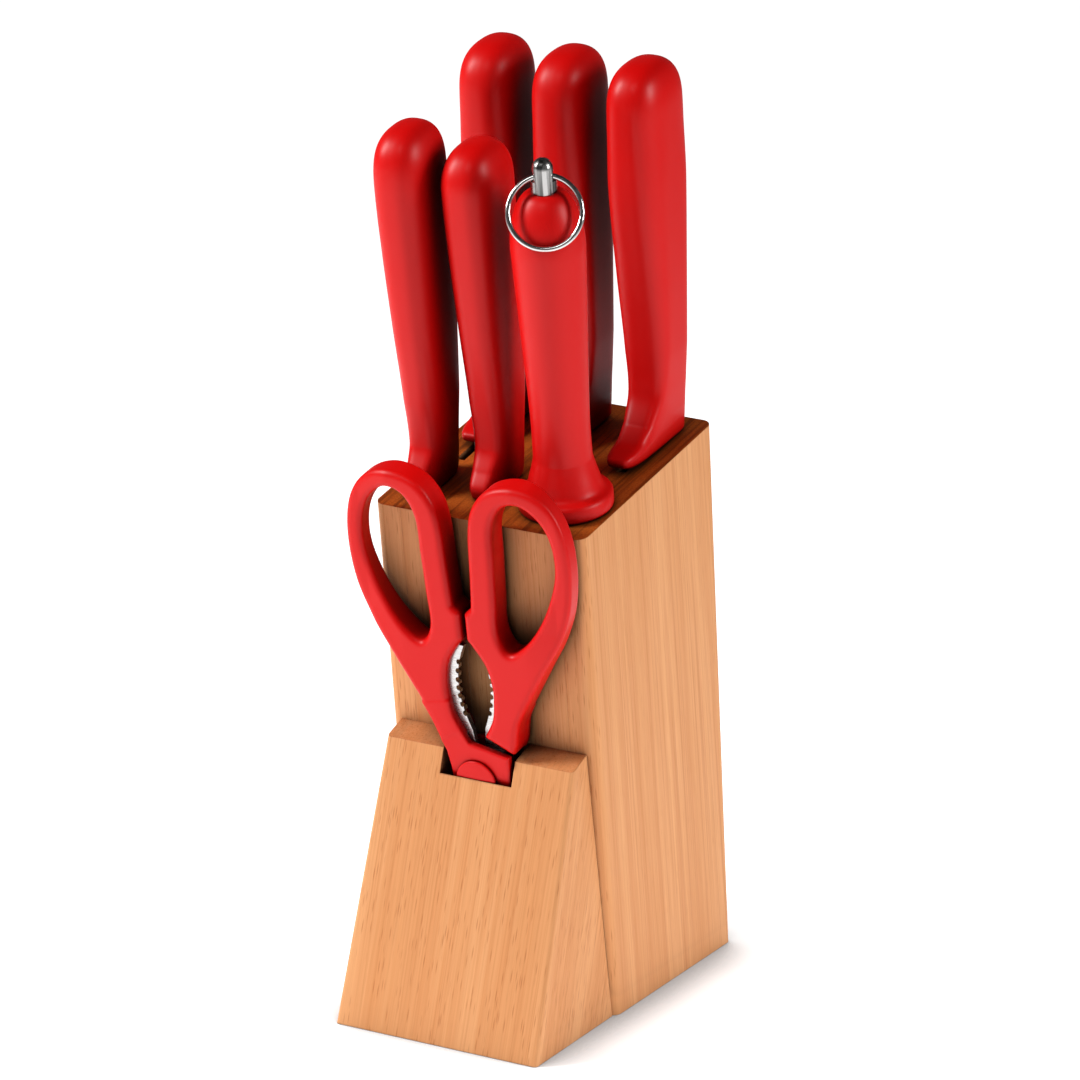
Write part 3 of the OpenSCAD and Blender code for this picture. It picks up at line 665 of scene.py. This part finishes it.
steel_at = placed(STEEL_X, STEEL_D, FACE_LEN, LEAN) @ Matrix.Translation((0, 0, SEAT_GAP))
steel_grip = make_piece("steel_grip", *lathe(steel_handle_profile(), 128), steel_at)
add(steel_grip, "sharpening_steel", "steel_handle", red)
add(hanging_ring(), "hanging_ring", "steel_ring", bright_steel)
left_grip = shear_handle("left_shear_grip", -1, front=True)
add(left_grip, "scissors_left_half", "scissors_left_handle", red)
right_grip = shear_handle("right_shear_grip", 1, front=False)
add(right_grip, "scissors_right_half", "scissors_right_handle", red)
add(cap_piece(), "scissors_pivot", "pivot_cap", red)

# ---------- Floor, light and camera, in metres ----------

CAMERA_AZIMUTH = math.radians(27.83)
FLOOR_SIZE, FLOOR_GAP = 12, 0.0002
LIT_HEIGHT = 0.17


def stage_floor():
    """Pale floor, lit from within along the way the camera looks and plain beside it, with a painted contact
    shadow around the object.
    """
    half = FLOOR_SIZE / 2
    corners = [(-half, -half, 0), (half, -half, 0), (half, half, 0), (-half, half, 0)]
    below = Matrix.Translation((0, 0, -FLOOR_GAP))
    floor = make_piece("floor", corners, [(0, 1, 2, 3)], below, smooth=False)
    made = Finish("pale_floor", Roughness=0.7, **{"Specular IOR Level": 0.0})
    turned = made.node("ShaderNodeMapping", Vector=made.place)
    turned.inputs["Rotation"].default_value = (0, 0, -CAMERA_AZIMUTH)
    parts = made.node("ShaderNodeSeparateXYZ", Vector=turned.outputs["Vector"])
    across, along = made.math("ABSOLUTE", parts.outputs["X"]), parts.outputs["Y"]
    path = made.math("MULTIPLY", made.band(across, 0.33, 0.52, 1.0, 0.08), made.band(along, -0.8, -0.35))
    path = made.math("MULTIPLY", path, made.band(along, 2.1, 3.6, 1.0, 0.1))
    # Painted contact shadow: the floor's colour and glow darken where the object stands within 28 mm
    painted_contact_shadow = made.shade(28, 0.25, 1.0, 0.4)
    glow = made.math("MULTIPLY", made.math("MULTIPLY", path, 0.88), painted_contact_shadow)
    made.set(made.surface, **{"Base Color": made.shaded((0.8, 0.8, 0.8), painted_contact_shadow),
                              "Emission Color": colour(1, 1, 1), "Emission Strength": glow})
    floor.data.materials.append(made.material)


def softbox(name, azimuth, elevation, distance, width, height, power):
    """Area light aimed at the middle of the object; azimuth 0 is the front, 90 the right."""
    az, el = math.radians(azimuth), math.radians(elevation)
    back = Vector((math.sin(az) * math.cos(el), -math.cos(az) * math.cos(el), math.sin(el)))
    light = bpy.data.lights.new(name, "AREA")
    light.shape = "RECTANGLE"
    light.size, light.size_y, light.energy = width, height, power
    lamp = bpy.data.objects.new(name, light)
    place = Matrix.Translation(Vector((0, 0, LIT_HEIGHT)) + back * distance)
    lamp.matrix_world = place @ back.to_track_quat("Z", "Y").to_matrix().to_4x4()
    bpy.context.scene.collection.objects.link(lamp)


def studio_world():
    """White surroundings, darker overhead."""
    world = bpy.data.worlds.new("studio")
    world.use_nodes = True
    tree = world.node_tree
    place = tree.nodes.new("ShaderNodeTexCoord")
    parts = tree.nodes.new("ShaderNodeSeparateXYZ")
    ramp = tree.nodes.new("ShaderNodeValToRGB")
    tree.links.new(place.outputs["Generated"], parts.inputs[0])
    tree.links.new(parts.outputs["Z"], ramp.inputs["Fac"])
    for element, position, tone in zip(ramp.color_ramp.elements, (0.1, 0.7), (0.5, 0.12)):
        element.position, element.color = position, colour(tone, tone, tone)
    tree.links.new(ramp.outputs["Color"], tree.nodes["Background"].inputs["Color"])
    tree.nodes["Background"].inputs["Strength"].default_value = 0.2
    bpy.context.scene.world = world


def aim_camera():
    """Long lens from the front right, a little above the block and slightly rolled."""
    azimuth, elevation, roll = CAMERA_AZIMUTH, math.radians(17.45), math.radians(1.54)
    distance, aside, above = 2442.46, 9.14, 157.5
    back = Vector((math.sin(azimuth) * math.cos(elevation), -math.cos(azimuth) * math.cos(elevation),
                   math.sin(elevation)))
    right = Vector((math.cos(azimuth), math.sin(azimuth), 0))
    up = back.cross(right)
    right, up = (math.cos(roll) * right + math.sin(roll) * up, -math.sin(roll) * right + math.cos(roll) * up)
    data = bpy.data.cameras.new("camera")
    data.sensor_width, data.lens = 36, 235
    data.clip_start, data.clip_end = 0.1, 50
    camera = bpy.data.objects.new("camera", data)
    spot = (back * distance + right * aside + up * above - Vector((0, MID_Y, 0))) * MM
    camera.matrix_world = Matrix.Translation(spot) @ Matrix((right, up, back)).transposed().to_4x4()
    bpy.context.scene.collection.objects.link(camera)
    bpy.context.scene.camera = camera


stage_floor()
studio_world()
softbox("key_left", -56, 34, 1.3, 0.3, 0.6, 17.4)
softbox("fill_right", 95, 22, 1.3, 0.3, 0.6, 9)
softbox("front_soft", 5, 48, 1.4, 0.5, 0.4, 2)
aim_camera()
bpy.context.scene.view_settings.view_transform = "Standard"
